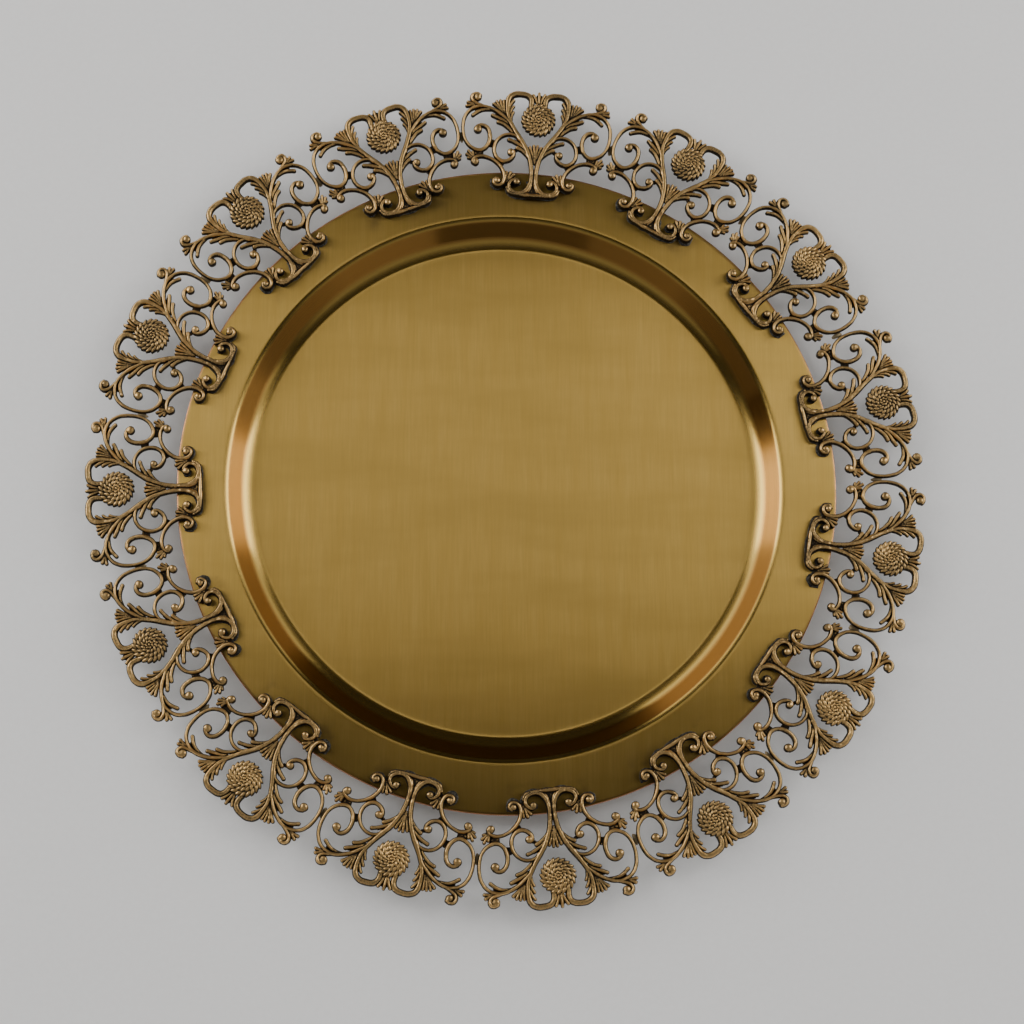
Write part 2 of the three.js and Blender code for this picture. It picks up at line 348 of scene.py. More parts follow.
# Scrolls of the right half, which the left half mirrors, as (points, widths, crest heights, groove).
SCROLLS = [
    # trunk, foot and the foot's inner curl
    ([(4.0, 21.8), (2.9, 18.8), (2.0, 15.9), (1.45, 13.0), (1.1, 10.0), (1.05, 7.2), (1.5, 4.8), (2.5, 2.6),
      (4.2, 1.0), (6.4, 0.5), (8.6, 1.1), (10.1, 2.5), (10.4, 4.4), (9.4, 6.0), (7.9, 6.8), (6.9, 6.5)],
     (1.5, 1.6, 1.6, 1.7, 2.0, 1.8, 1.5, 1.4), (2.7, 2.7, 2.8, 2.9, 2.8, 2.7), 0.4),
    # reed beside the trunk
    ([(1.3, 16.8), (0.75, 13.4), (0.42, 10.0), (0.4, 7.0), (0.75, 4.2), (1.6, 2.0), (2.8, 0.6)],
     (0.5, 0.9, 0.9, 1.0, 0.8), (1.9, 2.1, 2.1, 1.9), 0.0),
    # main stem, arch of the crest
    ([(1.5, 14.2), (2.5, 17.6), (3.9, 20.9), (5.7, 24.0), (7.6, 26.7), (9.3, 29.2), (10.7, 31.7),
      (12.0, 34.2), (12.95, 36.6), (13.3, 39.2), (13.4, 41.8), (13.1, 43.9), (12.1, 45.5), (10.2, 46.5),
      (7.9, 46.7), (5.6, 46.5), (4.0, 45.6), (3.2, 44.3), (3.0, 42.6), (3.1, 41.0)],
     (1.3, 1.9, 2.0, 1.9, 1.4, 1.7, 2.2, 2.3, 2.3, 2.1), (2.6, 2.9, 2.9, 2.6, 2.7, 2.8, 2.8, 2.6), 0.35),
    # branch, corner and big side scroll
    ([(10.6, 30.4), (11.9, 32.9), (13.8, 34.6), (15.8, 36.3), (17.9, 37.7), (20.2, 38.7), (22.6, 39.4),
      (25.0, 39.6), (27.4, 38.9), (29.5, 37.6), (31.1, 35.6), (32.1, 33.0), (32.3, 30.2), (32.1, 27.6),
      (31.5, 25.0), (30.4, 22.7), (28.6, 20.7), (26.4, 19.5), (24.3, 19.2), (22.4, 20.0), (20.9, 21.9),
      (20.2, 24.4), (20.3, 26.8), (21.1, 29.0), (22.6, 30.4), (24.4, 30.7), (26.0, 29.9)],
     (1.2, 1.5, 1.6, 1.4, 1.4, 1.4, 1.3, 1.3, 1.5, 1.6, 1.7, 1.6), (2.4, 2.7, 2.7, 2.7, 2.6, 2.5, 2.6, 2.8),
     0.15),
    # middle scroll
    ([(7.4, 25.0), (8.6, 26.6), (10.4, 27.35), (12.4, 27.4), (14.4, 26.7), (16.2, 25.3), (17.4, 23.4),
      (18.0, 21.0), (17.8, 18.8), (16.8, 16.7), (15.3, 15.4), (13.6, 14.9), (11.9, 15.2), (10.3, 16.3),
      (9.3, 17.9), (9.3, 19.2), (10.1, 19.9)],
     (0.9, 1.3, 1.35, 1.4, 1.5, 1.6, 1.6, 1.5), (2.4, 2.6, 2.6, 2.5, 2.6, 2.7), 0.1),
    # side ball, lower curve and the foot's outer curl
    ([(26.2, 12.7), (27.0, 13.5), (26.6, 14.9), (25.2, 15.9),
      (23.6, 16.4), (21.8, 16.4), (20.0, 16.0), (18.2, 15.2), (16.4, 14.0), (15.0, 12.7), (13.9, 11.2),
      (13.1, 9.5), (12.7, 7.7), (12.8, 6.0), (13.4, 4.5), (14.6, 3.6), (16.0, 3.6), (17.0, 4.5), (17.1, 5.7),
      (16.3, 6.5)],
     (1.4, 1.4, 1.4, 1.4, 1.5, 1.6, 1.7, 1.7, 1.5), (2.8, 2.5, 2.5, 2.6, 2.7, 2.9, 2.9), 0.1),
]

# Leaf blades of the right half, as (points, widths, crest heights).
LEAVES = [
    # inside the arch
    ([(12.7, 37.4), (12.4, 40.0), (11.7, 42.0), (10.8, 43.4)], (0.5, 1.2, 1.4, 1.3), (1.8, 2.3, 2.5, 2.4)),
    ([(12.1, 35.0), (11.9, 37.4), (11.5, 39.2), (10.7, 40.6)], (0.5, 1.2, 1.4, 1.3), (1.8, 2.3, 2.5, 2.4)),
    ([(11.3, 32.8), (11.4, 34.8), (11.2, 36.4), (10.6, 37.8)], (0.5, 1.2, 1.3, 1.2), (1.8, 2.3, 2.5, 2.4)),
    # fan between the arch and the branch
    ([(13.8, 36.0), (14.6, 38.4), (15.1, 40.8), (15.2, 42.9)], (0.5, 1.0, 1.3, 1.4), (1.6, 2.2, 2.4, 2.4)),
    ([(14.1, 36.0), (15.3, 38.5), (16.2, 40.8), (16.8, 42.9)], (0.5, 1.0, 1.3, 1.4), (1.6, 2.1, 2.4, 2.4)),
    ([(14.3, 36.0), (15.8, 38.3), (17.2, 40.3), (18.3, 42.3)], (0.5, 1.0, 1.3, 1.5), (1.6, 2.1, 2.4, 2.4)),
    ([(14.6, 36.2), (16.4, 38.3), (18.0, 39.9), (19.5, 41.1)], (0.5, 1.0, 1.4, 1.6), (1.6, 2.1, 2.4, 2.4)),
    # under the branch
    ([(12.2, 31.8), (14.0, 33.3), (16.0, 34.2), (18.0, 35.0), (19.7, 35.8)], (0.6, 1.4, 1.6, 1.7, 1.8),
     (1.8, 2.4, 2.4, 2.5, 2.5)),
    ([(10.0, 27.6), (11.4, 29.4), (13.0, 30.9), (14.8, 32.1), (17.0, 32.8)], (0.6, 1.4, 1.6, 1.7, 1.8),
     (1.8, 2.4, 2.4, 2.5, 2.5)),
    # under the corner
    ([(19.4, 37.9), (22.0, 38.2), (24.2, 37.9), (26.0, 37.1), (27.3, 36.1), (28.3, 35.2)],
     (0.6, 1.2, 1.5, 1.7, 1.8), (1.8, 2.2, 2.3, 2.5, 2.5)),
    # beside the stem
    ([(3.3, 18.6), (4.5, 20.7), (6.1, 22.3), (8.0, 23.4), (10.0, 24.4), (11.8, 25.0)],
     (0.7, 1.4, 1.6, 1.7, 1.8), (2.0, 2.4, 2.3, 2.5, 2.5)),
    ([(1.7, 15.4), (2.8, 17.3), (4.2, 19.0), (5.8, 20.3), (7.8, 21.4)],
     (0.7, 1.4, 1.6, 1.7, 1.9), (2.0, 2.4, 2.3, 2.5, 2.5)),
    # small lobes beside the corner curl
    ([(26.6, 39.8), (28.8, 40.2), (30.8, 41.0)], (0.8, 1.3, 1.7), (2.2, 2.3, 2.5)),
    ([(27.2, 39.4), (29.2, 39.5), (31.2, 39.3)], (0.8, 1.3, 1.6), (2.2, 2.3, 2.5)),
    # fan inside the foot
    ([(11.7, 5.4), (11.8, 7.8), (11.8, 9.8)], (0.7, 1.2, 1.4), (1.9, 2.3, 2.5)),
    ([(11.3, 5.4), (10.7, 7.8), (10.1, 9.8)], (0.7, 1.2, 1.6), (1.9, 2.3, 2.5)),
    ([(10.9, 5.8), (9.8, 7.5), (8.6, 8.8)], (0.7, 1.2, 1.5), (1.9, 2.3, 2.5)),
    # side leaf
    ([(26.3, 15.2), (26.9, 16.6), (27.3, 17.9)], (0.9, 1.2, 1.3), (2.0, 2.2, 2.4)),
    ([(26.4, 15.0), (27.9, 16.8), (29.0, 18.4)], (0.9, 1.2, 1.5), (2.1, 2.3, 2.5)),
    ([(26.6, 14.8), (28.3, 15.9), (29.7, 16.8)], (0.9, 1.2, 1.4), (2.1, 2.2, 2.4)),
    ([(26.8, 14.4), (28.0, 14.9), (29.0, 15.2)], (0.9, 1.1, 1.2), (2.0, 2.0, 2.2)),
]

# The two corner curls differ a little; 1 is the right one. Each is (points, its knob's middle and radius).
CORNER_CURLS = {
    1: ([(23.6, 39.5), (25.8, 40.1), (27.4, 40.6), (28.8, 41.5), (29.3, 42.8), (28.8, 44.0), (27.5, 44.4),
         (26.3, 43.9)], (27.0, 43.0), 1.8),
    -1: ([(23.2, 39.5), (25.4, 40.1), (27.3, 40.8), (28.8, 41.9), (29.3, 43.3), (28.7, 44.6), (27.2, 45.1),
          (25.9, 44.6)], (26.8, 43.7), 1.75),
}

CURL_WIDTHS = (1.6, 1.8, 2.0, 2.1, 1.9)
CURL_HEIGHTS = (2.5, 2.6, 2.8, 2.8)
KNOB_EDGE = 1.6

# Knobs in the eyes of the scrolls, as (middle, radius, height).
KNOBS = [
    ((7.2, 5.6), 1.5, 2.9), ((25.7, 28.7), 1.8, 3.0), ((10.6, 19.2), 1.55, 2.9), ((25.7, 13.4), 1.65, 2.9),
    ((15.7, 5.5), 1.5, 3.0),
]

# Low flat metal between strands and leaves, as convex outlines, anticlockwise.
WEB_HEIGHT = 1.0
WEBS = [
    [(12.6, 14.8), (13.8, 12.6), (16.2, 14.2), (15.2, 15.6)],
    [(18.2, 24.4), (18.2, 21.2), (20.8, 21.2), (20.4, 24.6)],
    [(22.4, 19.4), (22.6, 16.6), (26.4, 15.8), (27.2, 19.4)],
    [(7.0, 21.4), (7.8, 19.8), (9.4, 19.2), (9.6, 20.8)],
    [(10.2, 3.0), (13.2, 4.2), (12.6, 7.6), (10.4, 6.0)],
    [(13.8, 35.8), (15.2, 36.4), (18.8, 40.2), (17.4, 41.6), (15.4, 42.0), (14.3, 41.0)],
    [(11.4, 33.6), (13.0, 36.0), (13.3, 41.5), (11.7, 42.2), (11.0, 38.2)],
    [(12.6, 32.6), (15.4, 33.8), (18.4, 35.4), (18.6, 36.6), (15.6, 35.9)],
    [(11.2, 29.6), (13.4, 31.0), (16.0, 32.4), (16.2, 33.6), (13.2, 32.6)],
    [(21.0, 38.0), (24.6, 37.6), (27.0, 36.6), (27.6, 37.6), (25.4, 39.2)],
    [(4.4, 20.8), (6.6, 22.7), (9.8, 24.2), (9.4, 25.4), (6.4, 23.9)],
    [(2.6, 17.2), (4.4, 19.2), (6.4, 20.7), (7.0, 21.8), (4.6, 20.4)],
    [(11.2, 5.2), (11.9, 9.0), (10.2, 9.0), (9.2, 8.0)],
    [(26.2, 14.8), (27.8, 15.2), (28.9, 16.7), (28.4, 17.6), (27.0, 17.2)],
]

# Fans on the middle line.
MIDDLE_LEAVES = [
    ([(0.2, 41.4), (0.1, 44.0), (0.1, 46.0), (0.1, 47.4)], (0.9, 1.5, 1.6, 1.4), (2.2, 2.6, 2.8, 2.6)),
    ([(0.8, 41.4), (1.3, 43.6), (1.9, 45.4), (2.6, 46.8)], (0.9, 1.3, 1.5, 1.5), (2.1, 2.4, 2.6, 2.5)),
    ([(-0.3, 41.4), (-0.9, 43.6), (-1.6, 45.2), (-2.4, 46.4)], (0.9, 1.3, 1.5, 1.5), (2.1, 2.4, 2.6, 2.5)),
    ([(0.0, 14.6), (-0.2, 18.4), (-0.5, 21.0), (-0.7, 22.9)], (0.6, 1.2, 1.4, 1.4), (1.8, 2.3, 2.5, 2.5)),
    ([(0.1, 14.6), (0.3, 18.4), (0.7, 21.0), (0.9, 22.9)], (0.6, 1.2, 1.4, 1.4), (1.8, 2.3, 2.5, 2.5)),
    ([(0.4, 15.4), (1.2, 18.4), (2.0, 20.6), (2.5, 22.1)], (0.6, 1.2, 1.4, 1.5), (1.8, 2.2, 2.4, 2.3)),
    ([(-0.4, 15.4), (-1.1, 18.4), (-1.9, 20.6), (-2.4, 22.1)], (0.6, 1.2, 1.4, 1.5), (1.8, 2.2, 2.4, 2.3)),
]

# The bar along the front of the foot, as (points, widths, crest heights).
FOOT_BAR = ([(-11.3, 2.8), (-10.3, 0.9), (-8.5, 0.1), (-5.0, -0.15), (0, -0.2), (5.0, -0.15), (8.5, 0.1),
             (10.3, 0.9), (11.3, 2.8)], (1.2, 1.7, 1.8, 1.7, 1.2), (2.1, 2.5, 2.5, 2.5, 2.1))
MIDDLE_WEB_HEIGHT = 1.25
MIDDLE_WEBS = [
    [(-4.4, -0.6), (4.4, -0.6), (1.6, 3.4), (0, 7.0), (-1.6, 3.4)],
    [(0.3, 41.2), (2.0, 45.4), (1.2, 46.6), (-0.8, 46.6), (-1.4, 45.2)],
    [(0.0, 14.8), (2.0, 20.8), (0.9, 22.2), (-0.9, 22.2), (-1.9, 20.8)],
]


# Rings of petals, from the outside in, as (radius, count, half length, half width).
PETAL_RINGS = [(6.1, 20, 2.05, 0.97), (4.35, 16, 1.85, 0.9), (2.75, 12, 1.5, 0.76), (1.35, 7, 1.05, 0.58)]
PETAL_RISE = 1.2
SWIRL = math.radians(-50)
DOME_EDGE = 1.25
DOME_RISE = 1.0


def rosette(relief):
    """Petals that swirl over a low dome, with a bud in the middle."""
    relief.knob(ROSETTE, ROSETTE_RADIUS - 0.6, 2.0, edge=1.3)
    for level, (radius, count, half_length, half_width) in enumerate(PETAL_RINGS):
        base = DOME_EDGE + DOME_RISE * (1 - (radius / ROSETTE_RADIUS) ** 2)
        for i in range(count):
            angle = 2 * math.pi * (i + 0.5 * level) / count
            centre = ROSETTE + radius * np.array([math.cos(angle), math.sin(angle)])
            along = (math.cos(angle + SWIRL), math.sin(angle + SWIRL))
            relief.petal(centre, along, half_length, half_width, base, PETAL_RISE)
    relief.knob(ROSETTE, 0.7, 3.5, edge=2.6)


def casting_relief():
    """The whole pattern: both halves, then what is on the middle line."""
    relief = Relief(CASTING_LOW, CASTING_HIGH, CELL)
    for hand in (1, -1):
        def flip(points):
            return [(hand * x, y) for x, y in points]

        for corners in WEBS:
            relief.web(flip(corners)[::hand], WEB_HEIGHT)
        for points, widths, rise, groove in SCROLLS:
            relief.strand(flip(points), np.multiply(widths, FLANKS), rise, groove=groove)
        for points, widths, rise in LEAVES:
            relief.strand(flip(points), widths, rise, groove=LEAF_GROOVE)
        for (x, y), radius, rise in KNOBS:
            relief.knob((hand * x, y), radius, rise, edge=KNOB_EDGE)
        curl, eye, radius = CORNER_CURLS[hand]
        relief.strand(flip(curl), CURL_WIDTHS, CURL_HEIGHTS)
        relief.knob((hand * eye[0], eye[1]), radius, CURL_HEIGHTS[-1], edge=KNOB_EDGE)
    for corners in MIDDLE_WEBS:
        relief.web(corners, MIDDLE_WEB_HEIGHT)
    relief.strand(*FOOT_BAR, edge=KNOB_EDGE)
    for points, widths, rise in MIDDLE_LEAVES:
        relief.strand(points, widths, rise, groove=LEAF_GROOVE)
    rosette(relief)
    return relief


def add_cast_grain(relief):
    """The slight unevenness of sand-cast brass, coarser on the low webs."""
    fine_size = 0.3
    coarse_size = 0.9
    thinnest = 0.4
    noise = np.random.default_rng(RANDOM_SEED).normal(size=relief.top.shape)
    fine = blurred(noise, fine_size / relief.cell)
    fine /= fine.std()
    coarse = blurred(noise, coarse_size / relief.cell)
    coarse /= coarse.std()
    low = 1 - ramp(relief.top, 1.1, 0.6)
    relief.top += fine * (0.03 + 0.09 * low) + coarse * 0.04
    relief.top = np.clip(relief.top, thinnest, None)
    relief.depth += np.clip(coarse, -1, 1) * 0.05


def make_castings(relief, material):
    """The one relief, set on each CAD casting's own place and lean."""
    vertices, faces, patina_and_shade = relief.mesh()
    for node in nodes_called("filigree_panel"):
        seat = Seat(node, FOOT_EDGE)
        name = node.replace("filigree_panel", "casting")
        casting = mesh_object(name, seat.place(vertices, seat.low), faces)
        # the stored value paints patina and painted shade in the hollows, and painted shade on the sides and
        # back
        point_attribute(casting.data, "patina_and_shade", patina_and_shade)
        casting.data.materials.append(material)
        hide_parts(node)
        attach(casting, "root")


# -------- the plate

SEGMENTS = 480
WALL_SLOPE = math.radians(50)
SHOULDER_RADIUS = 3.6
FILLET_LEAD = 1.5  # the floor's rings end this far before the fillet
SHOULDER_LEAD = 0.8  # and the flange's start this far after the shoulder
FLANGE_DROOP = 0.42  # the flange's edge hangs this far below its lip
EDGE_ROUND = 0.42
BRUSHING_MAP_SIZE = 400  # the UV map is the plan, this far across

# How the surface changes with its tilt, as (first degree, degrees to the full change).
TURNED_TILT = (4.5, 9)  # brushed round instead of straight
POLISHED_TILT = (11, 20)
# painted reflection: the steep wall is coloured coppery, as if it reflected the brass across the well
WALL_REFLECTION_TILT = (32, 12)


def arc(centre, radius, start, end, count):
    """Points of an arc in the profile's plane; angles in radians from the outward direction."""
    angles = np.linspace(start, end, count)
    return [(centre[0] + radius * math.cos(a), centre[1] + radius * math.sin(a)) for a in angles]


class PlateShape:
    """The plate's rings, read from its CAD node."""

    def __init__(self):
        points = node_points("plate")
        corner_heights = points[node_triangles("plate")][:, :, 2]
        flat = np.ptp(corner_heights, axis=1) < SAME_LEVEL
        levels = np.unique(corner_heights[flat].mean(axis=1).round(2))
        self.floor_z = levels[levels > SAME_LEVEL][0]
        self.flange_z = levels[-1]
        self.rim_centre, self.rim_radius = ring(points, self.flange_z, outer=True)
        self.well_centre, self.lip_radius = ring(points, self.flange_z, outer=False)
        self.floor_radius = ring(points, self.floor_z, outer=True)[1]
        self.sheet = self.floor_z

    def upper_line(self):
        """The upper surface from the middle of the floor to the start of the rounded edge."""
        depth = self.flange_z - self.floor_z
        spread = self.lip_radius - self.floor_radius
        both = (spread - depth / math.tan(WALL_SLOPE)) / math.tan(WALL_SLOPE / 2)
        fillet = both - SHOULDER_RADIUS
        floor = np.linspace(0, self.floor_radius - FILLET_LEAD, 36)
        line = [(r, self.floor_z) for r in floor]
        turn = math.pi / 2
        line += arc((self.floor_radius, self.floor_z + fillet), fillet, -turn, -turn + WALL_SLOPE, 22)
        shoulder = (self.lip_radius, self.flange_z - SHOULDER_RADIUS)
        line += arc(shoulder, SHOULDER_RADIUS, turn + WALL_SLOPE, turn, 14)
        flange = np.linspace(self.lip_radius + SHOULDER_LEAD, self.rim_radius - EDGE_ROUND, 22)
        line += [(r, self.flange_z) for r in flange]
        return np.array(line)

    def outline(self):
        """The closed half section: underside, rounded edge, upper surface."""
        upper = self.upper_line()
        slope = np.gradient(upper[:, 1], upper[:, 0])
        tilt = np.arctan(slope)
        lower = upper + self.sheet * np.column_stack([np.sin(tilt), -np.cos(tilt)])
        lower[:, 0] = np.maximum.accumulate(lower[:, 0])
        lower[:, 1] = np.maximum(lower[:, 1], 0.0)
        lower[0, 0] = 0.0
        quarter = math.pi / 2
        corner = self.rim_radius - EDGE_ROUND
        edge = arc((corner, self.flange_z - self.sheet + EDGE_ROUND), EDGE_ROUND, -quarter, 0, 5)
        edge += arc((corner, self.flange_z - EDGE_ROUND), EDGE_ROUND, 0, quarter, 5)
        return np.vstack([lower[:-1], edge, upper[::-1][1:]])

    def centre(self, radius):
        """The centre of a ring: the well is spun a little off the edge."""
        share = self.flange_share(radius)
        return self.well_centre + share[..., None] * (self.rim_centre - self.well_centre)

    def flange_share(self, radius):
        """How far out on the flange: 0 up to the lip, 1 at the edge."""
        return ramp(radius, self.lip_radius, self.rim_radius - self.lip_radius)


# Waves of the flange's edge, as (height, waves in a full turn, phase).
FLANGE_WAVES = [(0.06, 3, 0.6), (0.06, 5, 2.1), (0.05, 8, 4.0), (0.05, 13, 1.0)]
FRONT_LIFT = 0.45  # the edge is bent up by this much at the front
FRONT_LIFT_REACH = 0.45  # radians


def flange_waves(x, y):
    """The hand-worked unevenness of the flange's edge, in millimetres."""
    angle = np.arctan2(y, x)
    waves = sum(height * np.sin(count * angle + phase) for height, count, phase in FLANGE_WAVES)
    return waves + FRONT_LIFT * np.exp(-((angle + math.pi / 2) / FRONT_LIFT_REACH) ** 2)


FOOT_HALF_WIDTH = 15.5
FOOT_FRONT = -1.0
DARKENING_REACH = 3.0


def darken_round_feet(vertices):
    """How much darker the flange is drawn, from 0 to 1, round each soldered foot."""
    foot_darkening = np.zeros(len(vertices))
    for node in nodes_called("filigree_panel"):
        seat = Seat(node, FOOT_EDGE)
        offset = vertices[:, :2] - seat.origin
        aside = np.maximum(np.abs(offset @ seat.across) - FOOT_HALF_WIDTH, 0)
        short = np.maximum(FOOT_FRONT - offset @ seat.outward, 0)
        foot_darkening = np.maximum(foot_darkening, np.exp(-(np.hypot(aside, short) / DARKENING_REACH) ** 2))
    return foot_darkening


def mark_plate(mesh, vertices, shape):
    """Stores what the plate's material reads."""
    normals = np.empty(len(vertices) * 3, np.float32)
    mesh.vertices.foreach_get("normal", normals)
    upright = np.abs(normals.reshape(-1, 3)[:, 2])
    tilt = np.degrees(np.arccos(np.clip(upright, 0, 1)))
    out = np.linalg.norm(vertices[:, :2] - shape.rim_centre, axis=1)
    point_attribute(mesh, "polish", ramp(tilt, *POLISHED_TILT))
    # painted reflection: coppery on the steep wall
    point_attribute(mesh, "wall_reflection", ramp(tilt, *WALL_REFLECTION_TILT))
    point_attribute(mesh, "turned", ramp(tilt, *TURNED_TILT))
    point_attribute(mesh, "edge", ramp(out, shape.rim_radius - 0.5, 0.3))
    point_attribute(mesh, "out", np.linalg.norm(vertices[:, :2] - shape.well_centre, axis=1))
    point_attribute(mesh, "foot_darkening", darken_round_feet(vertices))
    brushing = mesh.uv_layers.new(name="brushing")
    loops = np.empty(len(mesh.loops), np.int32)
    mesh.loops.foreach_get("vertex_index", loops)
    plan = vertices[loops, :2] / BRUSHING_MAP_SIZE + 0.5
    brushing.data.foreach_set("uv", plan.astype(np.float32).ravel())


def make_plate(shape, material):
    """The half section turned round, with its poles closed by triangles."""
    outline = shape.outline()
    angles = np.arange(SEGMENTS) * 2 * math.pi / SEGMENTS
    rings = outline[1:-1]
    radius = rings[:, :1] * np.ones((1, SEGMENTS))
    centre = shape.centre(radius)
    x = centre[..., 0] + radius * np.cos(angles)
    y = centre[..., 1] + radius * np.sin(angles)
    z = rings[:, 1:] * np.ones((1, SEGMENTS))
    share = shape.flange_share(radius)
    z += (flange_waves(x, y) - FLANGE_DROOP) * share
    vertices = np.stack([x, y, z], axis=-1).reshape(-1, 3)
    poles = [[*shape.well_centre, height] for height in (outline[0, 1], outline[-1, 1])]
    vertices = np.vstack([vertices, poles])
    bottom = len(vertices) - 2
    top = len(vertices) - 1
    last_ring = (len(rings) - 1) * SEGMENTS
    faces = []
    for i in range(SEGMENTS):
        j = (i + 1) % SEGMENTS
        faces.append([bottom, j, i])
        faces.append([top, i + last_ring, j + last_ring])
        for low in range(0, last_ring, SEGMENTS):
            high = low + SEGMENTS
            faces.append([low + i, low + j, high + j, high + i])
    plate = mesh_object("charger_plate", vertices, faces, smooth_angle=50)
    mark_plate(plate.data, vertices, shape)
    plate.data.materials.append(material)
    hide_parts("plate")
    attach(plate, "root")


# -------- the solder

POOL_LOW = (-19.5, -4.0)  # the pool's grid, in the casting's own frame
POOL_HIGH = (19.5, 7.6)
POOL_CELL = 0.3
POOL_FRONT = 3.4  # the pool ends here at the latest
POOL_BACK = 6.9
POOL_SIDE = 18.7
POOL_SUNK = 0.04  # its back is this far inside the flange
POOL_EDGE = 0.06  # height at its outline
POOL_THIN = 0.1
POOL_RISE = 0.2  # how much thicker it is at the foot
POOL_REACH = 0.2  # beyond the foot
POOL_SLOPE = 1.3  # it thins out over this distance from the foot
SPILL_SIZE = 4.0  # cells
SPILL = 0.3  # how far the pool's outline wanders
END_SPILL_PLACE = 16.5  # a larger patch may lie this far to each side of the middle
END_SPILL_REACH = 2.6


def make_foot_pools(relief, flange_z, material):
    """Dark flux and solder that ran out round each foot, over the flange."""
    rng = np.random.default_rng(RANDOM_SEED + 1)
    for node in nodes_called("foot_solder"):
        seat = Seat(node.replace("foot_solder", "filigree_panel"), FOOT_EDGE)
        pool = Relief(POOL_LOW, POOL_HIGH, POOL_CELL)
        grid_x, grid_y = np.meshgrid(pool.x, pool.y)
        near_x = np.clip(np.searchsorted(relief.x, grid_x), 0, len(relief.x) - 1)
        near_y = np.searchsorted(relief.y, grid_y)
        inside = relief.depth[np.clip(near_y, 0, len(relief.y) - 1), near_x]
        inside = np.where(grid_y < relief.y[0], -2.0, inside)
        spill = blurred(rng.normal(size=grid_x.shape), SPILL_SIZE)
        spill *= SPILL / spill.std()
        for side, extra in zip((-1, 1), rng.uniform(-0.2, 1.0, 2)):
            spill += extra * np.exp(-((grid_x - side * END_SPILL_PLACE) / END_SPILL_REACH) ** 2)
        border = np.minimum.reduce([grid_y + POOL_FRONT, POOL_BACK - grid_y, POOL_SIDE - np.abs(grid_x)])
        pool.depth = np.minimum(inside + POOL_REACH + spill, border)
        pool.top = POOL_THIN + POOL_RISE * ramp(inside, -POOL_SLOPE, POOL_SLOPE) ** 2
        pool.edge = np.full(grid_x.shape, POOL_EDGE)
        vertices, faces, _ = pool.mesh()
        vertices = seat.place(vertices, flange_z - POOL_SUNK)
        solder = mesh_object(node.replace("foot_solder", "foot_joint"), vertices, faces)
        point_attribute(solder.data, "flux", np.ones(len(vertices)))
        solder.data.materials.append(material)
        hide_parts(node)
        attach(solder, "root")


LUMP_HALF_SIZE = (1.15, 2.4, 1.0)  # across, outward and up
LUMP_MIDDLE = 1.25  # above the underside of the CAD bridge
LUMP_AROUND = 40
LUMP_LEVELS = 22


def lump_mesh(phases):
    """An uneven egg of solder round its middle, in rings from its bottom to its top."""
    across, outward, up = LUMP_HALF_SIZE
    vertices = []
    for level in range(LUMP_LEVELS):
        tilt = math.pi * (level + 0.5) / LUMP_LEVELS
        for step in range(LUMP_AROUND):
            turn = 2 * math.pi * step / LUMP_AROUND
            swell = 1 + 0.1 * math.sin(3 * turn + phases[0])
            swell += 0.06 * math.sin(5 * turn + 4 * tilt + phases[1])
            level_size = swell * math.sin(tilt)
            vertices.append([across * level_size * math.cos(turn), outward * level_size * math.sin(turn),
                             -up * math.cos(tilt)])
    faces = [list(range(LUMP_AROUND))[::-1]]
    faces.append([(LUMP_LEVELS - 1) * LUMP_AROUND + i for i in range(LUMP_AROUND)])
    for low in range(0, (LUMP_LEVELS - 1) * LUMP_AROUND, LUMP_AROUND):
        high = low + LUMP_AROUND
        for i in range(LUMP_AROUND):
            j = (i + 1) % LUMP_AROUND
            faces.append([low + i, low + j, high + j, high + i])
    return np.array(vertices), faces


def make_side_bridges(material):
    """Lumps of solder where the side scrolls of two neighbours meet."""
    rng = np.random.default_rng(RANDOM_SEED + 2)
    for node in nodes_called("side_solder"):
        points = node_points(node)
        middle = (points[:, :2].min(axis=0) + points[:, :2].max(axis=0)) / 2
        outward = middle / np.linalg.norm(middle)
        across = np.array([outward[1], -outward[0]])
        egg, faces = lump_mesh(rng.uniform(0, 2 * math.pi, 4)[:2])
        height = points[:, 2].min() + LUMP_MIDDLE
        spots = middle + egg[:, :1] * across + egg[:, 1:2] * outward
        vertices = np.column_stack([spots, egg[:, 2] + height])
        lump = mesh_object(node.replace("side_solder", "side_joint"), vertices, faces, smooth_angle=80)
        point_attribute(lump.data, "flux", np.zeros(len(vertices)))
        lump.data.materials.append(material)
        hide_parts(node)
        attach(lump, "root")


# -------- materials

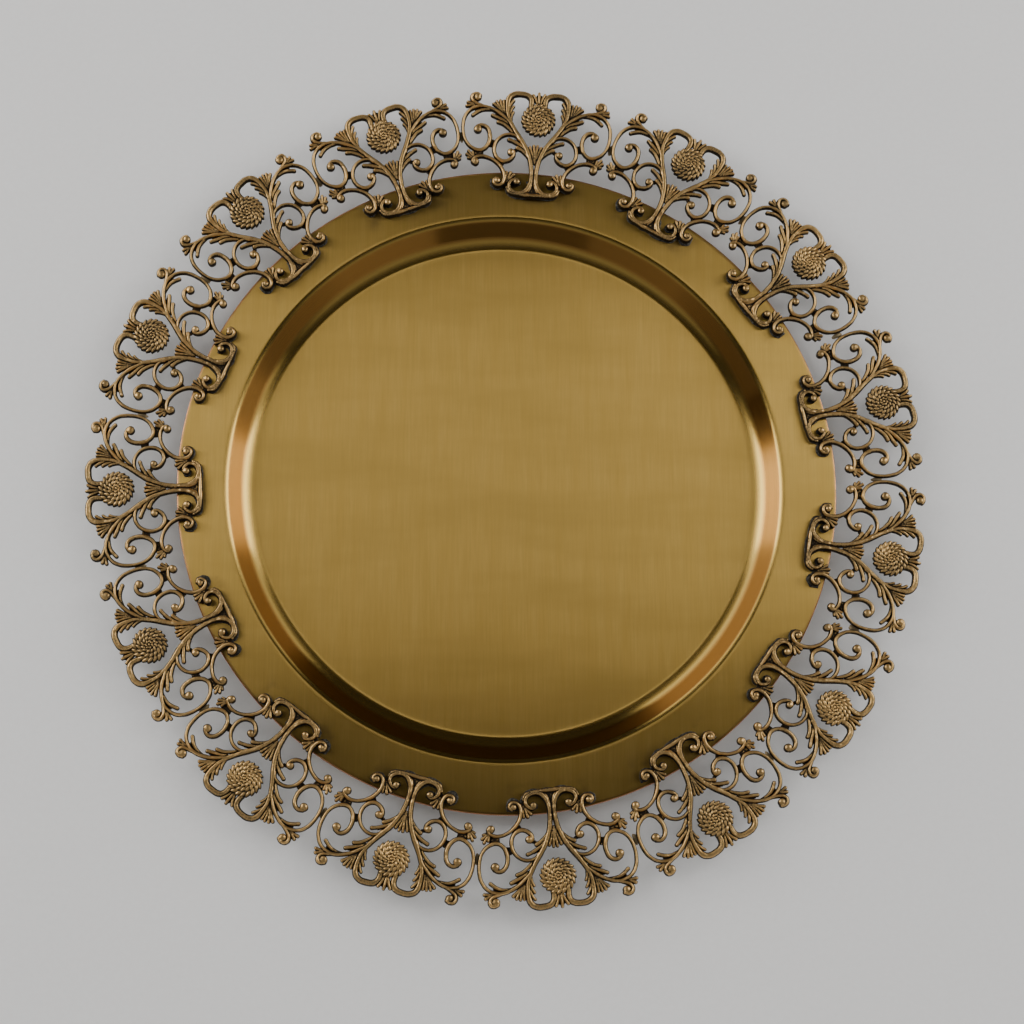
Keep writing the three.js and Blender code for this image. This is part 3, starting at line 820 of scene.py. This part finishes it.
class Shader:
    """A node material with short ways to add and join its nodes."""

    def __init__(self, name):
        self.material = bpy.data.materials.new(name)
        self.material.use_nodes = True
        self.tree = self.material.node_tree
        self.surface = self.tree.nodes["Principled BSDF"]

    def node(self, kind, **settings):
        made = self.tree.nodes.new(kind)
        for key, value in settings.items():
            setattr(made, key, value)
        return made

    def join(self, start, end):
        self.tree.links.new(start, end)

    def put(self, socket, value):
        """Links a socket's value, or sets a constant one."""
        if isinstance(value, bpy.types.NodeSocket):
            self.join(value, socket)
        else:
            socket.default_value = value

    def attribute(self, name):
        return self.node("ShaderNodeAttribute", attribute_name=name).outputs["Fac"]

    def coordinates(self, stretch=(1, 1, 1), world=False):
        """Object or world coordinates in millimetres, multiplied by stretch."""
        if world:
            source = self.node("ShaderNodeNewGeometry").outputs["Position"]
        else:
            source = self.node("ShaderNodeTexCoord").outputs["Object"]
        mapping = self.node("ShaderNodeMapping")
        mapping.inputs["Scale"].default_value = tuple(s / MM for s in stretch)
        self.join(source, mapping.inputs["Vector"])
        return mapping.outputs["Vector"]

    def noise(self, vector, scale, detail=3.0, roughness=0.55):
        noise = self.node("ShaderNodeTexNoise")
        noise.inputs["Scale"].default_value = scale
        noise.inputs["Detail"].default_value = detail
        noise.inputs["Roughness"].default_value = roughness
        self.join(vector, noise.inputs["Vector"])
        return noise.outputs["Fac"]

    def spread(self, value, low, high, to_low=0.0, to_high=1.0):
        """Maps low..high to to_low..to_high, held at both ends."""
        ranged = self.node("ShaderNodeMapRange", clamp=True)
        self.put(ranged.inputs["Value"], value)
        for key, number in (("From Min", low), ("From Max", high), ("To Min", to_low), ("To Max", to_high)):
            self.put(ranged.inputs[key], number)
        return ranged.outputs["Result"]

    def math(self, operation, a, b=0.0):
        made = self.node("ShaderNodeMath", operation=operation)
        self.put(made.inputs[0], a)
        self.put(made.inputs[1], b)
        return made.outputs["Value"]

    def mix(self, factor, a, b):
        made = self.node("ShaderNodeMix", data_type="RGBA")
        self.put(made.inputs["Factor"], factor)
        self.put(made.inputs["A"], a)
        self.put(made.inputs["B"], b)
        return made.outputs["Result"]

    def brushing(self, uv_map, turned):
        """The direction across the brush marks, which run along the map's V, or round where turned is 1."""
        vector_a = 4
        vector_b = 5
        vector_result = 1
        straight = self.node("ShaderNodeTangent", direction_type="UV_MAP", uv_map=uv_map)
        circular = self.node("ShaderNodeTangent", direction_type="RADIAL", axis="Z")
        radial = self.node("ShaderNodeVectorMath", operation="CROSS_PRODUCT")
        self.put(radial.inputs[0], circular.outputs["Tangent"])
        self.put(radial.inputs[1], self.node("ShaderNodeNewGeometry").outputs["Normal"])
        agreement = self.node("ShaderNodeVectorMath", operation="DOT_PRODUCT")
        self.put(agreement.inputs[0], straight.outputs["Tangent"])
        self.put(agreement.inputs[1], radial.outputs["Vector"])
        same_way = self.node("ShaderNodeVectorMath", operation="SCALE")
        self.put(same_way.inputs[0], radial.outputs["Vector"])
        self.put(same_way.inputs["Scale"], self.math("SIGN", agreement.outputs["Value"]))
        lay = self.node("ShaderNodeMix", data_type="VECTOR")
        self.put(lay.inputs["Factor"], turned)
        self.put(lay.inputs[vector_a], straight.outputs["Tangent"])
        self.put(lay.inputs[vector_b], same_way.outputs["Vector"])
        return lay.outputs[vector_result]

    def finished(self, colour, metallic, roughness, normal, **others):
        """The material, with the inputs of its surface set."""
        inputs = {"Base Color": colour, "Metallic": metallic, "Roughness": roughness, "Normal": normal}
        for name, value in {**inputs, **others}.items():
            self.put(self.surface.inputs[name], value)
        return self.material

    def bump(self, height, distance, normal=None):
        """distance is in millimetres."""
        made = self.node("ShaderNodeBump")
        made.inputs["Strength"].default_value = 1.0
        made.inputs["Distance"].default_value = distance * MM
        self.join(height, made.inputs["Height"])
        if normal:
            self.join(normal, made.inputs["Normal"])
        return made.outputs["Normal"]


def plate_brass():
    """Brass brushed in straight hairlines, and polished where the well turns up, with a coppery painted
    reflection on its steep wall.
    """
    shader = Shader("plate_brass")
    hairlines = shader.coordinates((1.0, 0.035, 0.0))
    fine = shader.noise(hairlines, 1.3, roughness=0.6)
    broad = shader.noise(shader.coordinates((1.0, 0.10, 0.0)), 0.22)
    cloud = shader.noise(shader.coordinates((0.25, 1.0, 0.0)), 0.045)
    polish = shader.attribute("polish")

    tone = shader.mix(shader.spread(broad, 0.3, 0.7), (0.585, 0.37, 0.092, 1.0), (0.645, 0.415, 0.112, 1.0))
    # painted shade: soft cloudy darker bands, as a wavy floor would show
    painted_wave_shade = shader.spread(cloud, 0.42, 0.7)
    tone = shader.mix(shader.math("MULTIPLY", painted_wave_shade, 0.8), tone, (0.50, 0.32, 0.08, 1.0))
    lined = shader.spread(fine, 0.3, 0.7, 0.0, 0.4)
    tone = shader.mix(lined, tone, (0.44, 0.28, 0.068, 1.0))
    patchy = shader.noise(shader.coordinates((1.0, 1.0, 0.0)), 0.09)
    # darker patches on the flange round each foot
    darkened = shader.math("MULTIPLY", shader.attribute("foot_darkening"), shader.spread(patchy, 0.45, 0.7, 0.0, 0.5))
    tone = shader.mix(darkened, tone, (0.16, 0.11, 0.045, 1.0))
    tone = shader.mix(polish, tone, (0.74, 0.485, 0.125, 1.0))
    # painted reflection: the steep wall turns coppery
    tone = shader.mix(shader.attribute("wall_reflection"), tone, (0.50, 0.262, 0.068, 1.0))
    tone = shader.mix(shader.attribute("edge"), tone, (0.80, 0.36, 0.20, 1.0))
    rough = shader.spread(fine, 0.25, 0.75, 0.28, 0.30)
    rough = shader.math("ADD", rough, shader.math("MULTIPLY", polish, -0.08))
    across = shader.brushing("brushing", shader.attribute("turned"))
    outward = shader.node("ShaderNodeCombineXYZ")
    shader.put(outward.inputs["X"], shader.attribute("out"))
    rings = shader.noise(outward.outputs["Vector"], 0.6)
    rings = shader.math("MULTIPLY", rings, polish)
    satin = shader.math("MULTIPLY", fine, shader.spread(polish, 0.0, 0.4, 1.0, 0.0))
    uneven = shader.bump(rings, 0.05, shader.bump(satin, 0.0005))
    return shader.finished(tone, 1.0, rough, uneven, Anisotropic=0.97, Tangent=across)


def cast_brass():
    """Antiqued cast brass: bright rubbed ridges, dark patina and painted shade in the hollows, and painted
    shade on the sides and back.
    """
    shader = Shader("cast_brass")
    patina_and_shade = shader.attribute("patina_and_shade")
    place = shader.coordinates(world=True)
    grain = shader.noise(place, 1.6, detail=4.0)
    cloud = shader.noise(place, 0.05, detail=2.0)
    # how dark: patina and painted shade, with random grain and clouding
    patina_and_shade_amount = shader.math("ADD", patina_and_shade, shader.spread(grain, 0.3, 0.7, -0.14, 0.14))
    patina_and_shade_amount = shader.math("ADD", patina_and_shade_amount, shader.spread(cloud, 0.35, 0.65, -0.08, 0.08))
    dark = shader.spread(patina_and_shade_amount, -0.14, 0.15)
    bright = shader.mix(shader.spread(cloud, 0.35, 0.65), (0.90, 0.58, 0.235, 1.0), (0.76, 0.50, 0.21, 1.0))
    # the dark colour of the patina and the painted shade
    patina_and_shade_tone = shader.spread(grain, 0.35, 0.65)
    patina_and_shade_tone = shader.mix(patina_and_shade_tone, (0.018, 0.012, 0.006, 1.0), (0.05, 0.036, 0.018, 1.0))
    metallic = shader.spread(dark, 0, 1, 1.0, 0.55)
    rough = shader.spread(dark, 0, 1, 0.38, 0.65)
    return shader.finished(shader.mix(dark, bright, patina_and_shade_tone), metallic, rough, shader.bump(grain, 0.05))


def solder_metal():
    """Brassy solder, dark and grey where flux covers it."""
    shader = Shader("solder")
    place = shader.coordinates(world=True)
    grain = shader.noise(place, 1.1, detail=4.0)
    tone = shader.mix(shader.spread(grain, 0.4, 0.65), (0.045, 0.045, 0.04, 1.0), (0.20, 0.18, 0.14, 1.0))
    tone = shader.mix(shader.attribute("flux"), (0.42, 0.32, 0.18, 1.0), tone)
    rough = shader.spread(grain, 0.3, 0.7, 0.35, 0.6)
    return shader.finished(tone, 0.7, rough, shader.bump(grain, 0.1))


def pale_plaster():
    """The floor's plain matt surface."""
    shader = Shader("pale_floor")
    grain = shader.noise(shader.coordinates(world=True), 0.4, detail=5.0)
    tone = shader.mix(grain, (0.76, 0.745, 0.725, 1.0), (0.82, 0.805, 0.785, 1.0))
    return shader.finished(tone, 0.0, 0.8, shader.bump(grain, 0.02))


# -------- the studio

def make_floor(material):
    half = 15000  # so large that its edges are out of sight
    corners = [[-half, -half, 0], [half, -half, 0], [half, half, 0], [-half, half, 0]]
    floor = mesh_object("floor", corners, [[0, 1, 2, 3]])
    floor.data.materials.append(material)
    return floor


def softbox(name, place, aim, width, height, radiance):
    """A rectangular area light, in millimetres. Its width runs level."""
    light = bpy.data.lights.new(name, "AREA")
    light.shape = "RECTANGLE"
    light.size = width * MM
    light.size_y = height * MM
    light.energy = radiance * math.pi * light.size * light.size_y
    lamp = bpy.data.objects.new(name, light)
    bpy.context.scene.collection.objects.link(lamp)
    lamp.location = Vector(place) * MM
    lamp.rotation_euler = (Vector(aim) - Vector(place)).to_track_quat("-Z", "Y").to_euler()
    return lamp


def light_only(lamp, thing):
    """Keeps a lamp off everything but one thing."""
    lit = bpy.data.collections.new(lamp.name + "_receivers")
    lit.objects.link(thing)
    lamp.light_linking.receiver_collection = lit


def make_world():
    """A dim warm surround: the lamps give nearly all the light."""
    world = bpy.data.worlds.new("studio")
    world.use_nodes = True
    background = world.node_tree.nodes["Background"]
    background.inputs["Color"].default_value = (1.0, 0.97, 0.93, 1.0)
    background.inputs["Strength"].default_value = 0.03
    bpy.context.scene.world = world


# The camera was fitted to the fifteen castings: it looks down about 13 degrees off upright.
CAMERA_PLACE = Vector((-37.7, -217.4, 948.0))
CAMERA_RIGHT = Vector((0.99914, -0.00248, 0.04142))
CAMERA_UP = Vector((-0.00645, 0.97678, 0.21415))


def make_camera():
    camera_data = bpy.data.cameras.new("camera")
    camera_data.lens = 80.0
    camera_data.sensor_width = 36.0
    camera_data.clip_end = 50.0
    camera = bpy.data.objects.new("camera", camera_data)
    bpy.context.scene.collection.objects.link(camera)
    axes = Matrix((CAMERA_RIGHT, CAMERA_UP, CAMERA_RIGHT.cross(CAMERA_UP))).transposed()
    camera.matrix_world = Matrix.Translation(CAMERA_PLACE * MM) @ axes.to_4x4()
    bpy.context.scene.camera = camera


def light_studio(floor):
    """Soft lamps at both sides, whose reflections shape the wall and the lip, and weak fills."""
    for name, side in (("left", -1), ("right", 1)):
        softbox(name + "_low_key", (side * 900, 275, 460), (0, 60, 0), 420, 800, 2.4)
        softbox(name + "_high_key", (side * 690, 298, 1000), (0, 40, 0), 466, 420, 1.6)
        softbox(name + "_low_fill", (side * 1000, -800, 250), (0, 0, 0), 1500, 500, 0.2 + 0.06 * side)
    softbox("left_fill", (-1000, 760, 480), (0, 0, 0), 1500, 900, 1.2)
    softbox("front_fill", (0, -800, 800), (0, 0, 0), 2600, 1100, 0.2)
    softbox("right_fill", (1150, 420, 520), (0, 0, 0), 1500, 950, 0.6)
    table_light = softbox("table_light", (0, 0, 3000), (0, 0, 0), 12000, 12000, 0.58)
    light_only(table_light, floor)
    make_world()


def build():
    shape = PlateShape()
    make_plate(shape, plate_brass())
    relief = casting_relief()
    add_cast_grain(relief)
    make_castings(relief, cast_brass())
    solder = solder_metal()
    make_foot_pools(relief, shape.flange_z, solder)
    make_side_bridges(solder)
    light_studio(make_floor(pale_plaster()))
    make_camera()


build()
